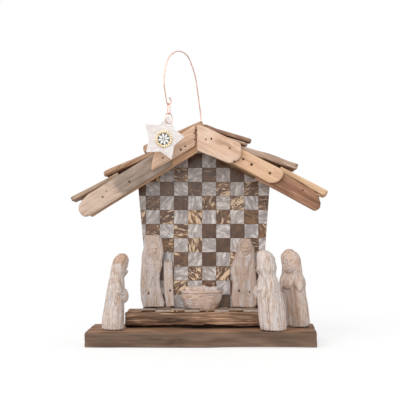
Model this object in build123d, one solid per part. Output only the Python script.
from build123d import *
import math
import os

# Lengths are millimetres and angles degrees.
# The origin is the centre of the base board's underside, +X to the viewer's right,
# +Y to the back and +Z up.

# Base board and the step plank on it
base_width = 305.0
base_depth = 110.0
base_height = 21.0
base_skew = 8.0
base_edge_round = 2.0
step_width = 206.0
step_setback = 43.5
step_height = 22.0
step_edge_round = 2.5

# Back panel, wider at the eaves than at its foot
panel_thickness = 6.0
panel_left_foot = 71.2
panel_right_foot = 83.5
panel_left_flare = 5.3
panel_right_flare = 4.3

# Shell tiles on the panel and on the step
tile_pitch = 20.0
tile_thickness = 2.0
floor_tile_thickness = 1.2
tile_joint = 0.5
wall_grid_shift = 1.85
wall_grid_drop = 1.0
floor_grid_shift = -1.8
floor_columns_left = 4
floor_columns_right = 5

# Roof frame. In each slope u runs down from the ridge and p stands square to the slope.
ridge_shift = -3.5
ridge_height = 260.0
left_pitch = 31.3
right_pitch = 27.5
roof_setback = 45.0
rafter_depth = 21.5
rafter_thickness = 18.0
right_rafter_rise = 7.0
left_rafter_length = 171.0
right_rafter_length = 176.0
deck_thickness = 4.0
tile_headroom = 15.0
beam_width = 24.0

# Fascia planks, each upper one lapped over the next
fascia_thickness = 6.0
fascia_edge_round = 1.2
seam_shift = 2.5
seam_gap = 1.6
left_upper_end = 68.0
left_upper_width = 33.0
left_lower_start = 38.0
left_lower_end = 180.8
left_lower_width = 31.0
right_upper_end = 57.0
right_upper_width = 36.8
right_middle_start = 30.0
right_middle_end = 118.5
right_middle_width = 32.0
right_lower_start = 85.0
right_lower_end = 180.2
right_lower_width = 27.5

# Plank outlines as shares of the end (or of the length) and of the width, with the corner
# radii as shares of the width
left_upper_seam_shares = (0.25, 1.06)
left_upper_shares = ((1.06, 0.25), (0.78, 0.92))
left_upper_round_shares = (0.0, 0.06, 0.06, 0.0)
left_lower_shares = (
    (0.0, 0.05), (0.8, 0.01), (1.0, 0.06), (1.0, 0.70), (0.84, 0.93), (0.48, 0.98), (0.0, 0.98),
)
left_lower_round_shares = (0.0, 0.6, 0.3, 0.34, 0.6, 1.2, 0.0)
right_upper_seam_shares = (0.0, 0.9)
right_upper_shares = ((0.85, 0.13), (1.0, 0.54), (0.84, 1.0), (-0.05, 0.98))
right_upper_round_shares = (0.0, 0.25, 0.3, 0.22, 0.4, 0.0)
right_middle_shares = ((0.0, 0.2), (1.0, 0.18), (1.0, 0.97), (0.0, 1.0))
right_middle_round_shares = (0.0, 0.5, 0.26, 0.0)
right_lower_shares = ((0.0, 0.06), (0.975, 0.02), (1.045, 0.4), (0.87, 0.93), (0.0, 1.0))
right_lower_round_shares = (0.0, 0.06, 0.3, 0.4, 0.0)

# Brads through each plank, as shares of the slope's rafter length and of the rafter depth
left_upper_brad_shares = ((0.067, 0.70), (0.110, 0.67), (0.264, 0.80))
left_lower_brad_shares = ((0.590, 0.63), (0.784, 0.86), (0.835, 0.68))
left_seam_brad_shares = (0.77, 1.12)
left_seam_brad_offset = 2.0
right_upper_brad_shares = ((0.011, 0.89), (0.045, 1.09), (0.206, 1.09))
right_middle_brad_shares = ((0.281, 0.48), (0.334, 0.88), (0.411, 0.81), (0.566, 0.86))
right_lower_brad_shares = ((0.853, 0.88),)
brad_diameter = 1.5
brad_hole = 2.3
brad_sink = 1.2
brad_bite = 10.0
fit_gap = 0.05

# Shingle sticks, three courses a side from the ridge down, and a doubled top course on the right
# Lower starts and the ends are shares of the slope's rafter length, thicknesses of the first one
left_start_shares = (0.2924, 0.6316)
left_end_shares = (0.377, 0.75, 1.076)
left_thickness_shares = (1.4, 1.1, 1.1)
left_eave_tilt = 4.0
right_start_shares = (0.2841, 0.6136)
right_end_shares = (0.327, 0.76, 1.046)
right_thickness_shares = (0.7, 1.3, 1.31)
right_eave_tilt = 0.0
shingle_thickness = 8.0
right_ridge_gap = 6.2
ridge_lap = 9.5
ridge_stick_start = -5.2
ridge_stick_end = 61.0
ridge_stick_thickness = 7.5
shingle_gap = 0.8
shingle_row_shares = (0.0, 0.36, 0.67, 1.0)
shingle_end_shares = (1.0, 0.93, 0.97)
shingle_end_round_share = 0.34
shingle_edge_round_share = 0.26
shingle_brad_share = 0.3
shingle_brad_bite_share = 0.75

# Screws from below, as shares of the step width and of the panel's narrower foot
screw_shank = 2.6
screw_head = 5.0
screw_head_height = 2.0
screw_recess = 0.6
screw_bite = 12.0
screw_clearance = 0.15
step_screw_shares = (-0.38, 0.12, 0.38)
panel_screw_shares = (-0.6, 0.7)

# Wire hook in a vertical plane turned about +Z, with an eye at its free end
wire_diameter = 1.5
wire_bite = 12.0
wire_hole_gap = 0.2
hook_shift = 0.4
hook_row_share = 0.8
hook_turn = 50.4
hook_reach = 77.4
hook_rise = 108.5
hook_shares = (
    (0.0, 0.2), (0.05, 0.37), (0.16, 0.735), (0.365, 0.965), (0.62, 1.0),
    (0.855, 0.905), (0.955, 0.76),
)
hook_round_share = 0.42
eye_radius = 4.6
eye_reach_share = 0.866
eye_rise_share = 0.346
eye_entry = 13.0
eye_sweep = 250.0
eye_run_share = 0.245

# Link, ring and star that hang from the eye
chain_wire = 1.2
chain_gap = 0.3
link_length = 15.5
link_width = 5.2
ring_diameter = 15.5
star_radius = 30.0
star_inner_radius = 18.4
star_thickness = 3.0
star_turn = 12.0
star_edge_round = 0.6
star_arm_shares = (1.06, 0.93, 0.97, 0.98, 1.07)
star_notch_shares = (1.03, 0.89, 0.93, 1.07, 1.08)
star_arm_turns = (0.0, 0.0, 3.0, 5.0, 9.0)
star_hole = 5.2
star_hole_drop = 9.0
star_hole_offset = 2.2
star_hang_gap = 0.3
medallion_radius = 11.6
medallion_opening = 8.0
bezel_height = 2.4
bezel_beads = 20
bead_radius = 1.5
disc_height = 1.7
disc_gap = 0.1

# Standing figures: foot from the base's end or the step's end and from the step's front, height,
# and lofted sections as shares of the height (section height, shift to the right, half width,
# half depth)
left_wise_inset = 36.0
left_wise_lead = 16.5
left_wise_height = 100.5
left_wise_shares = (
    (0.0, 0.0, 0.146, 0.122), (0.13, -0.006, 0.150, 0.127), (0.26, 0.003, 0.139, 0.121),
    (0.39, 0.013, 0.128, 0.115), (0.52, 0.027, 0.119, 0.110), (0.64, 0.038, 0.107, 0.103),
    (0.73, 0.047, 0.096, 0.096), (0.81, 0.066, 0.093, 0.092), (0.89, 0.088, 0.096, 0.091),
    (0.95, 0.101, 0.076, 0.074), (1.0, 0.109, 0.030, 0.030),
)
left_wise_mass_shares = (
    (0.135, 0.0, 0.455, 0.062, 0.070, 0.094),
    (0.130, 0.0, 0.755, 0.040, 0.045, 0.068),
)
front_wise_inset = 55.8
front_wise_lead = 27.5
front_wise_height = 105.5
front_wise_shares = (
    (0.0, 0.0, 0.158, 0.130), (0.13, -0.014, 0.174, 0.136), (0.26, -0.026, 0.174, 0.132),
    (0.39, -0.044, 0.166, 0.127), (0.52, -0.064, 0.152, 0.121), (0.63, -0.076, 0.132, 0.112),
    (0.73, -0.083, 0.110, 0.102), (0.80, -0.088, 0.119, 0.106), (0.88, -0.102, 0.112, 0.102),
    (0.95, -0.122, 0.084, 0.080), (1.0, -0.136, 0.032, 0.032),
)
front_wise_mass_shares = (
    (-0.190, 0.055, 0.480, 0.062, 0.066, 0.090),
    (-0.160, 0.060, 0.740, 0.045, 0.045, 0.070),
)
back_wise_gap = 29.0
back_wise_setback = 21.5
back_wise_height = 105.5
back_wise_shares = (
    (0.0, 0.0, 0.164, 0.122), (0.13, -0.003, 0.170, 0.127), (0.26, -0.012, 0.166, 0.123),
    (0.39, -0.027, 0.160, 0.119), (0.52, -0.047, 0.158, 0.116), (0.62, -0.061, 0.163, 0.112),
    (0.72, -0.059, 0.130, 0.100), (0.82, -0.068, 0.120, 0.098), (0.90, -0.081, 0.117, 0.096),
    (0.96, -0.091, 0.082, 0.076), (1.0, -0.099, 0.030, 0.030),
)
back_wise_mass_shares = (
    (-0.115, -0.085, 0.560, 0.070, 0.055, 0.080),
    (-0.092, -0.078, 0.755, 0.060, 0.042, 0.075),
)

# Flat figures against the wall: left edge, width, height and outline shares
slab_edge_round = 2.6
father_left = -85.3
father_width = 34.7
father_height = 102.0
father_thickness = 14.0
father_shares = (
    (0.13, 0.0), (0.96, 0.01), (1.0, 0.06), (0.92, 0.15), (0.82, 0.30),
    (0.79, 0.40), (0.81, 0.47), (0.88, 0.56), (0.90, 0.66), (0.94, 0.75),
    (0.92, 0.84), (0.86, 0.94), (0.77, 1.0), (0.22, 1.0), (0.14, 0.93),
    (0.16, 0.83), (0.08, 0.73), (0.0, 0.32), (0.03, 0.12),
)
father_round_share = 0.05
staff_left = -54.2
staff_width = 18.2
staff_height = 66.5
staff_thickness = 8.0
staff_shares = (
    (0.27, 0.0), (1.0, 0.02), (0.88, 0.40), (0.80, 0.98), (0.62, 0.99),
    (0.42, 0.945), (0.22, 1.0), (0.04, 1.0), (0.12, 0.35),
)
staff_round_share = 0.06
mother_left = 41.7
mother_width = 37.5
mother_height = 98.5
mother_thickness = 15.0
mother_shares = (
    (0.14, 0.0), (0.90, 0.0), (0.99, 0.05), (0.98, 0.34), (0.93, 0.62),
    (0.88, 0.86), (0.74, 0.98), (0.45, 0.99), (0.30, 0.92), (0.23, 0.78),
    (0.05, 0.62), (0.0, 0.52), (0.08, 0.36), (0.04, 0.14), (0.05, 0.03),
)
mother_round_share = 0.06
figure_brad_bite = 4.0
father_brad_shares = ((0.35, 0.20),)
staff_brad_shares = ((0.60, 0.36),)
mother_brad_shares = ((0.32, 0.245), (0.72, 0.23))

# Manger bowl and the swaddled infant in it
manger_x = 2.0
manger_width = 57.5
manger_depth = 33.0
manger_height = 25.0
manger_foot_share = 0.69
manger_belly_share = 0.91
manger_belly_height_share = 0.42
manger_wall = 4.0
manger_wall_gap = 1.0
infant_length_share = 0.80
infant_width_share = 0.62
infant_rise = 7.5
infant_rim_drop = 2.0
infant_seat_gap = 0.15
infant_head_radius = 5.6
infant_head_share = 0.28

# Places that follow from the sizes
base_back = base_depth / 2
base_front = -base_depth / 2
step_front = base_front + step_setback
step_top = base_height + step_height
floor_top = step_top + floor_tile_thickness
panel_back = base_back
panel_front = panel_back - panel_thickness
wall_face = panel_front - tile_thickness
roof_front = base_front + roof_setback
roof_back = base_back
rafter_back = roof_front + rafter_thickness
deck_top = rafter_depth + deck_thickness
hook_y = roof_front + hook_row_share * rafter_thickness
left_wise_x = left_wise_inset - base_width / 2
left_wise_y = step_front - left_wise_lead
front_wise_x = base_width / 2 - front_wise_inset
front_wise_y = step_front - front_wise_lead
back_wise_x = step_width / 2 + back_wise_gap
back_wise_y = step_front + back_wise_setback


def sine(angle):
    return math.sin(math.radians(angle))


def cosine(angle):
    return math.cos(math.radians(angle))


def tangent(angle):
    return math.tan(math.radians(angle))


def upright_face(points, radii):
    """Closed outline of (x, z) points in the XZ plane, each corner rounded by its own radius."""
    return Plane.XZ * make_face(FilletPolyline(*points, radius=radii, close=True))


def board(points, radii, thickness):
    """Upright board with its back at Y = 0 and its front towards -Y."""
    return extrude(upright_face(points, radii), amount=thickness, dir=(0, -1, 0))


def rod(diameter, start, end):
    """Straight round rod between two points."""
    axis = Vector(end) - Vector(start)
    return extrude(Plane(origin=start, z_dir=axis) * Circle(diameter / 2), amount=axis.length)


def on_slope(piece, side):
    """Carry a piece from (u, y, p) to its roof slope."""
    pitch = right_pitch if side == "right" else left_pitch
    placed = Pos(ridge_shift, 0, ridge_height) * Rot(0, pitch, 0) * piece
    if side == "right":
        return placed
    return mirror(placed, about=Plane.YZ.offset(ridge_shift))


def seam_u(pitch, offset, p):
    """Slope coordinate u where the vertical plane at that offset from the ridge is met."""
    return (offset - p * sine(pitch)) / cosine(pitch)


def ridge_under(pitch, p):
    """Height of a line of the slope, p above its lower edge, where it meets the ridge plane."""
    return ridge_height + p / cosine(pitch)


def worn_board(face_points):
    """Plan outline extruded up from Z = 0 to the base height with worn top edges."""
    block = extrude(make_face(Polyline(*face_points, close=True)), amount=base_height)
    top_edges = block.faces().sort_by(Axis.Z)[-1].edges()
    return fillet(top_edges, min(base_edge_round, base_height / 3))


def base_board():
    half = base_width / 2
    corners = [(-half, base_front), (half, base_front), (half + base_skew, base_back), (-half, base_back)]
    return worn_board(corners)


def step_plank():
    depth = panel_front - step_front
    center = Pos(0, step_front + depth / 2, base_height + step_height / 2)
    plank = center * Box(step_width, depth, step_height)
    radius = min(step_edge_round, step_height / 3)
    top = plank.faces().sort_by(Axis.Z)[-1]
    front = plank.faces().sort_by(Axis.Y)[0]
    shared = [edge for edge in top.edges() if edge.center().Y < panel_front - depth / 4]
    ends = front.edges().filter_by(Axis.Z)
    return fillet(shared + list(ends), radius)


def eave_height(foot, reach, flare, pitch, p):
    """Height above the base where the panel's flared side meets the slope line at p."""
    rise = ridge_under(pitch, p) - base_height - reach * tangent(pitch)
    return rise / (1 + tangent(flare) * tangent(pitch))


def panel_points(p, inset, foot_height):
    """Gabled outline below the slope lines at p, drawn in from the sides by the inset."""
    left_foot = panel_left_foot - inset
    right_foot = panel_right_foot - inset
    left_rise = eave_height(left_foot, left_foot + ridge_shift, panel_left_flare, left_pitch, p)
    right_rise = eave_height(right_foot, right_foot - ridge_shift, panel_right_flare, right_pitch, p)
    lift = foot_height - base_height
    return [
        (-left_foot - lift * tangent(panel_left_flare), foot_height),
        (right_foot + lift * tangent(panel_right_flare), foot_height),
        (right_foot + right_rise * tangent(panel_right_flare), base_height + right_rise),
        (ridge_shift, ridge_under(right_pitch, p)),
        (ridge_shift, ridge_under(left_pitch, p)),
        (-left_foot - left_rise * tangent(panel_left_flare), base_height + left_rise),
    ]


def panel_prism(p, inset, foot_height, back, thickness):
    """Panel outline as a slab whose back lies at the given Y."""
    face = Plane.XZ * make_face(Polyline(*panel_points(p, inset, foot_height), close=True))
    return Pos(0, back, 0) * extrude(face, amount=thickness, dir=(0, -1, 0))


def tile_top():
    """Slope line, measured as p, that the wall tiles end at."""
    return rafter_depth - tile_headroom


def wall_tiles(shade):
    """Wall tiles of one shade, cut to the panel outline."""
    side = tile_pitch - tile_joint
    field = panel_prism(tile_top(), tile_joint, step_top, panel_front, tile_thickness)
    reach = math.ceil((max(panel_left_foot, panel_right_foot) * 2) / tile_pitch)
    grid_foot = step_top - wall_grid_drop
    rows = math.ceil((ridge_under(left_pitch, tile_top()) - grid_foot) / tile_pitch)
    tiles = []
    for row in range(rows):
        for column in range(-reach, reach + 1):
            if (row + column) % 2 != shade:
                continue
            x = wall_grid_shift + (column - 0.5) * tile_pitch
            z = grid_foot + (row + 0.5) * tile_pitch
            blank = Pos(x, panel_front - tile_thickness / 2, z) * Box(side, tile_thickness, side)
            kept = blank & field
            if kept and kept.volume > tile_joint * tile_pitch * tile_thickness:
                tiles.extend(kept.solids())
    return Part() + tiles


def floor_tiles(shade):
    """Floor tiles of one shade, in rows forward from the wall tiles."""
    side = tile_pitch - tile_joint
    front = step_front + step_edge_round
    rows = math.ceil((wall_face - front) / tile_pitch)
    tiles = []
    for row in range(rows):
        back = wall_face - row * tile_pitch
        depth = min(tile_pitch, back - front)
        for column in range(-floor_columns_left, floor_columns_right):
            if (row + column) % 2 != shade:
                continue
            x = floor_grid_shift + (column + 0.5) * tile_pitch
            tile = Box(side, depth - tile_joint, floor_tile_thickness)
            tiles.append(Pos(x, back - depth / 2, step_top + floor_tile_thickness / 2) * tile)
    return Part() + tiles


def slope_strip(pitch, low, high, length, front, back):
    """Straight roof member from the ridge plane down the slope, between two lines p."""
    corners = [(seam_u(pitch, 0, low), low), (length, low), (length, high), (seam_u(pitch, 0, high), high)]
    face = Plane.XZ * make_face(Polyline(*corners, close=True))
    return Pos(0, back, 0) * extrude(face, amount=back - front, dir=(0, -1, 0))


def ridge_beam():
    """Beam under the ridge, from the rafters to the panel, above the wall tiles."""
    half = beam_width / 2
    bottom = max(ridge_under(left_pitch, tile_top()), ridge_under(right_pitch, tile_top())) + tile_joint
    right_top = ridge_under(right_pitch, rafter_depth)
    left_top = ridge_under(left_pitch, rafter_depth)
    corners = [
        (ridge_shift - half, bottom),
        (ridge_shift + half, bottom),
        (ridge_shift + half, right_top - half * tangent(right_pitch)),
        (ridge_shift, right_top),
        (ridge_shift, left_top),
        (ridge_shift - half, left_top - half * tangent(left_pitch)),
    ]
    face = Plane.XZ * make_face(Polyline(*corners, close=True))
    return Pos(0, panel_front, 0) * extrude(face, amount=panel_front - rafter_back, dir=(0, -1, 0))


def beam_nail_places():
    """The two nails that hold the beam against the panel, as (x, z)."""
    bottom = max(ridge_under(left_pitch, tile_top()), ridge_under(right_pitch, tile_top())) + tile_joint
    height = bottom + (ridge_under(right_pitch, rafter_depth) - bottom) / 3
    return [(ridge_shift - beam_width / 4, height), (ridge_shift + beam_width / 4, height)]


def along_length(start, end, width, shares):
    """Outline points of a plank from shares of its length and width."""
    return [(start + u_share * (end - start), p_share * width) for u_share, p_share in shares]


def from_seam(pitch, offset, end, width, seam_shares, shares):
    """Outline points of a plank that starts at the vertical seam by the ridge."""
    low, high = [share * width for share in seam_shares]
    middle = [(u_share * end, p_share * width) for u_share, p_share in shares]
    return [(seam_u(pitch, offset, low), low)] + middle + [(seam_u(pitch, offset, high), high)]


def plank(points, round_shares, width):
    """Flat fascia plank with a worn front edge, its back on Y = 0."""
    radii = [share * width for share in round_shares]
    blank = board(points, radii, fascia_thickness)
    front = blank.faces().sort_by(Axis.Y)[0]
    return fillet(front.edges(), min(fascia_edge_round, fascia_thickness / 3))


def lean(piece, pivot, angle):
    """Turn a piece about the line u = pivot so that its lower end comes forward."""
    return Pos(pivot, 0, 0) * Rot(0, 0, -angle) * Pos(-pivot, 0, 0) * piece


def in_front(pivot, angle, length, width):
    """Room in front of a leaning plank's back face, to scarf the plank below it."""
    depth = fascia_thickness * 3
    room = Pos(pivot + length / 2, -depth / 2, width / 2) * Box(length * 2, depth, width * 3)
    return lean(room, pivot, angle)


def front_y(u, pivot, angle):
    """Y of a leaning plank's front face at u, measured from the rafter's face."""
    return -(fascia_thickness / cosine(angle) + (u - pivot) * tangent(angle))


# Lean of each lapped plank: its tip meets the face of the plank below
left_upper_top = left_upper_seam_shares[1] * left_upper_width
left_upper_pivot = seam_u(left_pitch, seam_shift + seam_gap / 2, left_upper_top)
left_upper_lean = math.degrees(math.atan(fascia_thickness / (left_upper_end - left_upper_pivot)))
right_middle_lean = math.degrees(math.atan(fascia_thickness / (right_middle_end - right_middle_start)))
right_upper_top = right_upper_seam_shares[1] * right_upper_width
right_upper_pivot = seam_u(right_pitch, seam_gap / 2 - seam_shift, right_upper_top)
right_tip_rise = -front_y(right_upper_end, right_middle_start, right_middle_lean)
right_upper_lean = math.degrees(math.atan(right_tip_rise / (right_upper_end - right_upper_pivot)))


def brad_table(side):
    """Fascia brads of one side: u, p and the Y of the plank's face there."""
    table = []
    if side == "left":
        places = [(u * left_rafter_length, p * rafter_depth) for u, p in left_upper_brad_shares]
        for share in left_seam_brad_shares:
            p = share * rafter_depth
            seam = seam_u(left_pitch, seam_shift + seam_gap / 2, p)
            places.append((seam + left_seam_brad_offset, p))
        for u, p in places:
            table.append((u, p, front_y(u, left_upper_pivot, left_upper_lean)))
        for u, p in left_lower_brad_shares:
            table.append((u * left_rafter_length, p * rafter_depth, -fascia_thickness))
        return table
    for shares, pivot, angle in (
        (right_upper_brad_shares, right_upper_pivot, right_upper_lean),
        (right_middle_brad_shares, right_middle_start, right_middle_lean),
        (right_lower_brad_shares, right_lower_start, 0),
    ):
        for u_share, p_share in shares:
            u = u_share * right_rafter_length
            table.append((u, p_share * rafter_depth, front_y(u, pivot, angle)))
    return table


def fascia_brads(side, diameter, extra, through):
    """Rods along Y at every fascia brad; through lengthens them past the plank faces."""
    rods = []
    for u, p, face in brad_table(side):
        front = roof_front + face + brad_sink - through
        rods.append(rod(diameter, (u, front, p), (u, roof_front + brad_bite + extra, p)))
    return Part() + rods


def fascia_planks(side):
    """All fascia planks of one side, lapped, scarfed and drilled, in slope coordinates."""
    if side == "left":
        upper_points = from_seam(
            left_pitch, seam_shift + seam_gap / 2, left_upper_end, left_upper_width,
            left_upper_seam_shares, left_upper_shares,
        )
        upper = plank(upper_points, left_upper_round_shares, left_upper_width)
        upper = lean(upper, left_upper_pivot, left_upper_lean)
        lower_points = along_length(left_lower_start, left_lower_end, left_lower_width, left_lower_shares)
        lower = plank(lower_points, left_lower_round_shares, left_lower_width)
        lower -= in_front(left_upper_pivot, left_upper_lean, left_upper_end, left_lower_width)
        named = {"fascia_left_upper": upper, "fascia_left_lower": lower}
    else:
        upper_points = from_seam(
            right_pitch, seam_gap / 2 - seam_shift, right_upper_end, right_upper_width,
            right_upper_seam_shares, right_upper_shares,
        )
        upper = plank(upper_points, right_upper_round_shares, right_upper_width)
        upper = lean(upper, right_upper_pivot, right_upper_lean)
        middle_points = along_length(
            right_middle_start, right_middle_end, right_middle_width, right_middle_shares
        )
        middle = plank(middle_points, right_middle_round_shares, right_middle_width)
        middle = lean(middle, right_middle_start, right_middle_lean)
        middle -= in_front(right_upper_pivot, right_upper_lean, right_upper_end, right_middle_width)
        lower_points = along_length(right_lower_start, right_lower_end, right_lower_width, right_lower_shares)
        lower = plank(lower_points, right_lower_round_shares, right_lower_width)
        lower -= in_front(right_middle_start, right_middle_lean, right_middle_end, right_lower_width)
        named = {"fascia_right_upper": upper, "fascia_right_middle": middle, "fascia_right_lower": lower}
    holes = fascia_brads(side, brad_hole, 0, fascia_thickness * 3)
    return {name: Pos(0, roof_front, 0) * piece - holes for name, piece in named.items()}


def row_span(row):
    """Front and back Y of one row of sticks."""
    depth = roof_back - roof_front - shingle_gap
    front = roof_front + shingle_gap / 2 + shingle_row_shares[row] * depth
    back = roof_front + shingle_gap / 2 + shingle_row_shares[row + 1] * depth
    return front + shingle_gap / 2, back - shingle_gap / 2


def stick(length, row, thickness):
    """Driftwood stick lying along u from 0, with its underside on p = 0."""
    front, back = row_span(row)
    width = back - front
    corner = shingle_end_round_share * width
    corners = [(0, front), (length, front), (length, back), (0, back)]
    small = corner / 4
    plan = make_face(FilletPolyline(*corners, radius=(small, corner, corner, small), close=True))
    blank = extrude(plan, amount=thickness)
    ends = blank.faces().filter_by(Axis.Z)
    rims = ends[0].edges() + ends[1].edges()
    return fillet(rims, shingle_edge_round_share * min(thickness, corner))


def course_tilts(starts, ends, thicknesses, eave_tilt):
    """Tilt of each course, so that its underside lies on the top of the next."""
    eave_u = starts[2] - thicknesses[2] * sine(eave_tilt)
    middle = math.atan(thicknesses[2] * cosine(eave_tilt) / (eave_u - starts[1]))
    corner_u = starts[1] - thicknesses[1] * math.sin(middle)
    corner = math.atan(thicknesses[1] * math.cos(middle) / (corner_u - starts[0]))
    top_rise = thicknesses[1] / math.cos(middle) + (ends[0] - starts[1]) * math.tan(middle)
    tip = math.atan((top_rise + fit_gap) / (ends[0] - starts[0]))
    return (math.degrees(max(corner, tip)), math.degrees(middle), eave_tilt)


def laid(piece, start, tilt, rise):
    """Lay a stick on the deck at u = start, lifted square to itself, with its lower end raised."""
    return Pos(start, 0, deck_top) * Rot(0, -tilt, 0) * Pos(0, 0, rise) * piece


def shingle_table(side):
    """Every stick of one side: name, start, length, thickness, tilt, rise, row and run."""
    left = side == "left"
    pitch = left_pitch if left else right_pitch
    rafter_length = left_rafter_length if left else right_rafter_length
    starts = [seam_u(pitch, 0, deck_top) + (0 if left else right_ridge_gap)]
    starts += [share * rafter_length for share in (left_start_shares if left else right_start_shares)]
    ends = [share * rafter_length for share in (left_end_shares if left else right_end_shares)]
    thickness_shares = left_thickness_shares if left else right_thickness_shares
    thicknesses = [share * shingle_thickness for share in thickness_shares]
    tilts = course_tilts(starts, ends, thicknesses, left_eave_tilt if left else right_eave_tilt)
    rows = len(shingle_end_shares)
    table = []
    for course in range(len(starts)):
        for row in range(rows):
            share = shingle_end_shares[(row + course) % rows if row else 0]
            length = (ends[course] - starts[course]) * share
            name = f"shingle_{side}_{course + 1}_{row + 1}"
            lap = 0
            if left and course == 0:
                lap = ridge_lap / cosine(pitch - tilts[course])
            entry = (name, starts[course], length + lap, thicknesses[course], tilts[course], 0, row, -lap)
            table.append(entry)
    if not left:
        for row in range(rows - 1):
            length = (ridge_stick_end - ridge_stick_start) * shingle_end_shares[row]
            run = (ridge_stick_start - starts[0]) / cosine(tilts[0])
            name = f"shingle_right_ridge_{row + 1}"
            thickness = ridge_stick_thickness
            table.append((name, starts[0], length, thickness, tilts[0], thicknesses[0], row, run))
    return table


def shingle_brad_places(side):
    """Shingle brads of one side: u, y and the p of the stick's top there."""
    table = shingle_table(side)
    doubled_rows = [entry[6] for entry in table if entry[5] > 0]
    places = []
    for name, start, length, thickness, tilt, rise, row, run in table:
        if rise > 0:
            continue
        u = start + shingle_brad_share * length
        lift = thickness
        if name.endswith(f"_1_{row + 1}") and row in doubled_rows:
            lift = thickness + ridge_stick_thickness
        front, back = row_span(row)
        top = deck_top + (u - start) * tangent(tilt) + lift / cosine(tilt)
        places.append((u, (front + back) / 2, top))
    return places


def shingle_brads(side, diameter, extra, through):
    """Rods square to the deck at every shingle brad."""
    bottom = deck_top - shingle_brad_bite_share * deck_thickness - extra
    rods = []
    for u, y, top in shingle_brad_places(side):
        rods.append(rod(diameter, (u, y, bottom), (u, y, top - brad_sink + through)))
    return Part() + rods


def shingles(side):
    """All sticks of one side, drilled for their brads, in slope coordinates."""
    holes = shingle_brads(side, brad_hole, 0, ridge_stick_thickness * 2)
    named = {}
    for name, start, length, thickness, tilt, rise, row, run in shingle_table(side):
        piece = laid(Pos(run, 0, 0) * stick(length, row, thickness), start, tilt, rise)
        named[name] = piece - holes
    return named


def screw_places():
    """Screws from below as (x, y, bottom of the piece that they hold)."""
    step_y = (step_front + panel_front) / 2
    places = [(share * step_width, step_y) for share in step_screw_shares]
    foot = min(panel_left_foot, panel_right_foot)
    places += [(share * foot, panel_back - panel_thickness / 2) for share in panel_screw_shares]
    places += [(left_wise_x, left_wise_y), (front_wise_x, front_wise_y), (back_wise_x, back_wise_y)]
    return places


def screw(x, y, gap, through):
    """Countersunk screw up through the base; a gap all round and a run below make its hole."""
    shank = screw_shank / 2 + gap
    head = screw_head / 2 + gap
    low = screw_recess - through
    neck = screw_recess + screw_head_height
    tip = base_height + screw_bite + gap
    corners = [(0, low), (head, low), (shank, neck), (shank, tip), (0, tip)]
    if through > 0:
        corners.insert(2, (head, screw_recess))
    profile = Polyline(*corners, close=True)
    return Pos(x, y, 0) * revolve(Plane.XZ * make_face(profile), axis=Axis.Z)


def base_screws(gap, through):
    return Part() + [screw(x, y, gap, through) for x, y in screw_places()]


def hook_plane():
    """Upright plane of the wire hook: x runs from the ridge towards the eye, y is up."""
    direction = Vector(-cosine(hook_turn), -sine(hook_turn), 0)
    normal = Vector(-sine(hook_turn), cosine(hook_turn), 0)
    return Plane(origin=(hook_shift, hook_y, 0), x_dir=direction, z_dir=normal)


def hook_foot():
    """Height of the right deck's top where the wire comes out of it."""
    reach = hook_shift - ridge_shift
    return ridge_under(right_pitch, deck_top) - reach * tangent(right_pitch)


def eye_center():
    return (eye_reach_share * hook_reach, hook_foot() + eye_rise_share * hook_rise)


def wire_hook():
    """One bent wire: a stub in the rafter, the arch, and an open eye."""
    foot = hook_foot()
    eye_x, eye_z = eye_center()
    entry = (eye_x + eye_radius * cosine(eye_entry), eye_z - eye_radius * sine(eye_entry))
    run = eye_run_share * hook_rise
    before = (entry[0] + run * sine(eye_entry), entry[1] + run * cosine(eye_entry))
    bends = [(x * hook_reach, foot + z * hook_rise) for x, z in hook_shares] + [before]
    points = [(0, foot - wire_bite)] + bends + [entry]
    radii = []
    for index in range(1, len(points) - 1):
        first = Vector(*points[index]) - Vector(*points[index - 1])
        second = Vector(*points[index + 1]) - Vector(*points[index])
        half_turn = first.get_angle(second) / 2
        radii.append(hook_round_share * min(first.length, second.length) / tangent(half_turn))
    arch = FilletPolyline(*points, radius=radii)
    eye = CenterArc((eye_x, eye_z), eye_radius, -eye_entry, -eye_sweep)
    path = Curve() + [hook_plane() * arch, hook_plane() * eye]
    wire = path.wires()[0]
    section = Plane(origin=wire @ 0, z_dir=wire % 0) * Circle(wire_diameter / 2)
    return sweep(section, path=wire)


def wire_hole():
    """Hole for the wire's straight foot, from the rafter up through the deck and the ridge stick."""
    foot = hook_foot()
    start = (hook_shift, hook_y, foot - wire_bite - fit_gap)
    end = (hook_shift, hook_y, foot + hook_shares[0][1] * hook_rise)
    return rod(wire_diameter + wire_hole_gap * 2, start, end)


def hang_point(height):
    """World point under the eye's centre at a given height."""
    eye_x, eye_z = eye_center()
    return hook_plane().from_local_coords(Vector(eye_x, height, 0))


def eye_bottom():
    """Height of the eye's wire centre at its lowest point."""
    return eye_center()[1] - eye_radius


def link_top():
    return eye_bottom() + wire_diameter / 2 + chain_gap + chain_wire / 2


def link_bottom():
    return link_top() - (link_length - chain_wire)


def ring_center():
    return link_bottom() + chain_wire + chain_gap - (ring_diameter - chain_wire) / 2


def ring_bottom():
    return ring_center() - (ring_diameter - chain_wire) / 2


def across_plane(height):
    """Upright plane square to the hook's plane, through the hanging line."""
    hook = hook_plane()
    return Plane(origin=hang_point(height), x_dir=hook.z_dir, z_dir=hook.x_dir * -1)


def pendant_link():
    """Long oval link through the eye."""
    radius = (link_width - chain_wire) / 2
    half = (link_length - chain_wire) / 2 - radius
    left = Line((-radius, half), (-radius, -half))
    right = Line((radius, -half), (radius, half))
    low = CenterArc((0, -half), radius, 180, 180)
    high = CenterArc((0, half), radius, 0, 180)
    plane = across_plane((link_top() + link_bottom()) / 2)
    path = Curve() + [plane * edge for edge in (left, low, right, high)]
    wire = path.wires()[0]
    section = Plane(origin=wire @ 0, z_dir=wire % 0) * Circle(chain_wire / 2)
    return sweep(section, path=wire)


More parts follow.
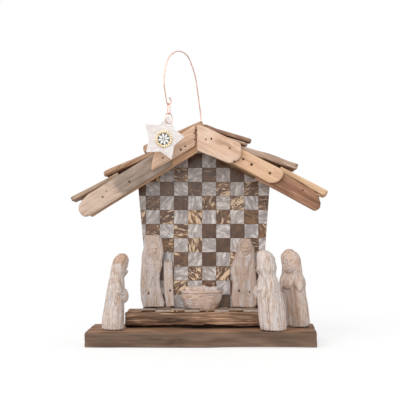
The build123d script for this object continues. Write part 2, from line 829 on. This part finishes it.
def pendant_ring():
    """Round ring through the link and the star, in the hook's plane."""
    hook = hook_plane()
    plane = Plane(origin=hang_point(ring_center()), x_dir=hook.x_dir, z_dir=hook.z_dir)
    return plane * Torus((ring_diameter - chain_wire) / 2, chain_wire / 2)


def star_plane():
    """Plane of the star's middle, x to the right and y up along its upper arm."""
    hole_along = star_radius - star_hole_drop
    seat = hang_point(ring_bottom() - star_hang_gap)
    right = Vector(cosine(star_turn), 0, -sine(star_turn))
    up = Vector(sine(star_turn), 0, cosine(star_turn))
    origin = seat - up * hole_along - right * star_hole_offset
    return Plane(origin=origin, x_dir=right, z_dir=(0, -1, 0))


def star():
    """Hand-cut five-pointed slab with a hole in its upper arm."""
    arms = len(star_arm_shares)
    turns = [360 * arm / arms + star_arm_turns[arm] for arm in range(arms)]
    corners = []
    for arm in range(arms):
        tip = turns[arm]
        following = turns[(arm + 1) % arms] + (360 if arm == arms - 1 else 0)
        notch = (tip + following) / 2
        tip_radius = star_arm_shares[arm] * star_radius
        notch_radius = star_notch_shares[arm] * star_inner_radius
        corners.append((tip_radius * sine(tip), tip_radius * cosine(tip)))
        corners.append((notch_radius * sine(notch), notch_radius * cosine(notch)))
    slab = extrude(make_face(Polyline(*corners, close=True)), amount=star_thickness / 2, both=True)
    rims = slab.faces().filter_by(Axis.Z)
    slab = fillet(rims[0].edges() + rims[1].edges(), min(star_edge_round, star_thickness / 3))
    hole = Cylinder(star_hole / 2, star_thickness * 2)
    hole = Pos(star_hole_offset, star_radius - star_hole_drop, 0) * hole
    return star_plane() * (slab - hole)


def medallion_bezel():
    """Beaded ring on the star's face."""
    pitch_radius = medallion_radius - bead_radius
    beads = [loc * Circle(bead_radius) for loc in PolarLocations(pitch_radius, bezel_beads)]
    outline = Circle(pitch_radius) + beads - Circle(medallion_opening)
    return star_plane() * Pos(0, 0, star_thickness / 2) * extrude(outline, amount=bezel_height)


def medallion_disc():
    """Flat disc inside the bezel."""
    radius = medallion_opening - disc_gap
    return star_plane() * Pos(0, 0, star_thickness / 2 + disc_height / 2) * Cylinder(radius, disc_height)


def ellipsoid(center, half_sizes):
    return Pos(*center) * scale(Sphere(1), by=half_sizes)


def standing_figure(x, y, height, section_shares, mass_shares):
    """Carved figure: a lofted robe and head, with rounded masses for gift, hands and beard."""
    sections = []
    for z_share, shift_share, width_share, depth_share in section_shares:
        place = Pos(x + shift_share * height, y, base_height + z_share * height)
        sections.append(place * Ellipse(width_share * height, depth_share * height))
    body = loft(sections)
    for dx, dy, dz, a, b, c in mass_shares:
        center = (x + dx * height, y + dy * height, base_height + dz * height)
        body += ellipsoid(center, (a * height, b * height, c * height))
    return body


def slab_figure(left, width, height, thickness, shares, round_share):
    """Flat driftwood figure standing on the floor tiles against the wall tiles."""
    points = [(left + x * width, floor_top + z * height) for x, z in shares]
    radii = [round_share * width] * len(points)
    blank = board(points, radii, thickness)
    front = blank.faces().sort_by(Axis.Y)[0]
    rounded = fillet(front.edges(), min(slab_edge_round, thickness / 4))
    return Pos(0, wall_face, 0) * rounded


def figure_brad_table():
    """Brads through the flat figures: x, z and the figure's thickness."""
    table = []
    for x, z in father_brad_shares:
        table.append((father_left + x * father_width, floor_top + z * father_height, father_thickness))
    for x, z in staff_brad_shares:
        table.append((staff_left + x * staff_width, floor_top + z * staff_height, staff_thickness))
    for x, z in mother_brad_shares:
        table.append((mother_left + x * mother_width, floor_top + z * mother_height, mother_thickness))
    return table


def figure_brads(diameter, extra, through):
    rods = []
    for x, z, thickness in figure_brad_table():
        front = wall_face - thickness + brad_sink - through
        rods.append(rod(diameter, (x, front, z), (x, panel_front + figure_brad_bite + extra, z)))
    return Part() + rods


def beam_nails(diameter, extra, through):
    rods = []
    for x, z in beam_nail_places():
        back = panel_back - brad_sink + through
        rods.append(rod(diameter, (x, panel_front - brad_bite - extra, z), (x, back, z)))
    return Part() + rods


def manger_y():
    """The manger stands just clear of the wall tiles."""
    return wall_face - manger_wall_gap - manger_depth / 2


def bowl(inset, floor, rim):
    """Bowl form drawn in by the inset, between two heights above the floor tiles."""
    levels = (
        (floor, manger_foot_share),
        (floor + manger_belly_height_share * (rim - floor), manger_belly_share),
        (rim, 1.0),
    )
    sections = []
    for height, share in levels:
        place = Pos(manger_x, manger_y(), floor_top + height)
        half_x = manger_width / 2 * share - inset
        half_y = manger_depth / 2 * share - inset
        sections.append(place * Ellipse(half_x, half_y))
    return loft(sections)


def manger():
    return bowl(0, 0, manger_height) - bowl(manger_wall, manger_wall, manger_height)


def infant():
    """Swaddled body that fills the bowl, with a head at one end."""
    rim = floor_top + manger_height
    hollow = bowl(manger_wall + infant_seat_gap, manger_wall, manger_height)
    above = Box(manger_width, manger_depth, manger_height)
    above = Pos(manger_x, manger_y(), rim - infant_rim_drop + manger_height / 2) * above
    filling = Pos(0, 0, infant_seat_gap) * hollow - above
    half_x = infant_length_share * (manger_width / 2 - manger_wall)
    half_y = infant_width_share * (manger_depth / 2 - manger_wall)
    body = ellipsoid((manger_x, manger_y(), rim - infant_rim_drop), (half_x, half_y, infant_rise))
    head_x = manger_x + infant_head_share * manger_width
    head = Pos(head_x, manger_y(), rim) * Sphere(infant_head_radius)
    return filling + body + head


def write(name, piece):
    export_step(piece, os.path.join("parts", name + ".step"))


def main():
    os.makedirs("parts", exist_ok=True)
    screw_holes = base_screws(screw_clearance, base_height)
    pilot_holes = base_screws(fit_gap, 0)
    brad_fit = brad_diameter + fit_gap * 2
    pieces = {}
    pieces["base_board"] = base_board() - screw_holes
    pieces["step_plank"] = step_plank() - pilot_holes
    figure_holes = figure_brads(brad_fit, fit_gap, father_thickness)
    nail_holes = beam_nails(brad_fit, fit_gap, panel_thickness)
    panel = panel_prism(rafter_depth, 0, base_height, panel_back, panel_thickness)
    pieces["back_panel"] = panel - pilot_holes - figure_holes - nail_holes
    pieces["wall_tiles_dark"] = wall_tiles(0) - figure_holes
    pieces["wall_tiles_light"] = wall_tiles(1) - figure_holes
    pieces["floor_tiles_dark"] = floor_tiles(0)
    pieces["floor_tiles_light"] = floor_tiles(1)
    pieces["ridge_beam"] = ridge_beam() - nail_holes
    pieces["panel_nails"] = beam_nails(brad_diameter, 0, 0)
    sides = (
        ("left", left_pitch, left_rafter_length, 0),
        ("right", right_pitch, right_rafter_length, right_rafter_rise),
    )
    for side, pitch, length, low in sides:
        brad_holes = fascia_brads(side, brad_fit, fit_gap, fascia_thickness)
        deck_holes = shingle_brads(side, brad_fit, fit_gap, deck_thickness)
        rafter = slope_strip(pitch, low, rafter_depth, length, roof_front, rafter_back) - brad_holes
        deck = slope_strip(pitch, rafter_depth, deck_top, length, roof_front, roof_back)
        deck = deck - brad_holes - deck_holes
        pieces[f"rafter_{side}"] = on_slope(rafter, side)
        pieces[f"deck_{side}"] = on_slope(deck, side)
        for name, piece in fascia_planks(side).items():
            pieces[name] = on_slope(piece, side)
        for name, piece in shingles(side).items():
            pieces[name] = on_slope(piece, side)
        pieces[f"fascia_brads_{side}"] = on_slope(fascia_brads(side, brad_diameter, 0, 0), side)
        pieces[f"shingle_brads_{side}"] = on_slope(shingle_brads(side, brad_diameter, 0, 0), side)
    hole = wire_hole()
    for name in ("rafter_right", "deck_right", "shingle_left_1_1"):
        pieces[name] = pieces[name] - hole
    pieces["wire_hook"] = wire_hook()
    pieces["pendant_link"] = pendant_link()
    pieces["pendant_ring"] = pendant_ring()
    pieces["star"] = star()
    pieces["medallion_bezel"] = medallion_bezel()
    pieces["medallion_disc"] = medallion_disc()
    pieces["base_screws"] = base_screws(0, 0)
    wise_men = {
        "wise_man_left": (
            left_wise_x, left_wise_y, left_wise_height, left_wise_shares, left_wise_mass_shares,
        ),
        "wise_man_front": (
            front_wise_x, front_wise_y, front_wise_height, front_wise_shares, front_wise_mass_shares,
        ),
        "wise_man_back": (
            back_wise_x, back_wise_y, back_wise_height, back_wise_shares, back_wise_mass_shares,
        ),
    }
    for name, sizes in wise_men.items():
        pieces[name] = standing_figure(*sizes) - pilot_holes
    slab_holes = figure_brads(brad_hole, 0, father_thickness)
    slabs = {
        "father_figure": (
            father_left, father_width, father_height, father_thickness, father_shares, father_round_share,
        ),
        "staff": (staff_left, staff_width, staff_height, staff_thickness, staff_shares, staff_round_share),
        "mother_figure": (
            mother_left, mother_width, mother_height, mother_thickness, mother_shares, mother_round_share,
        ),
    }
    for name, sizes in slabs.items():
        pieces[name] = slab_figure(*sizes) - slab_holes
    pieces["figure_brads"] = figure_brads(brad_diameter, 0, 0)
    pieces["manger"] = manger()
    pieces["infant"] = infant()
    for name, piece in pieces.items():
        write(name, piece)


main()
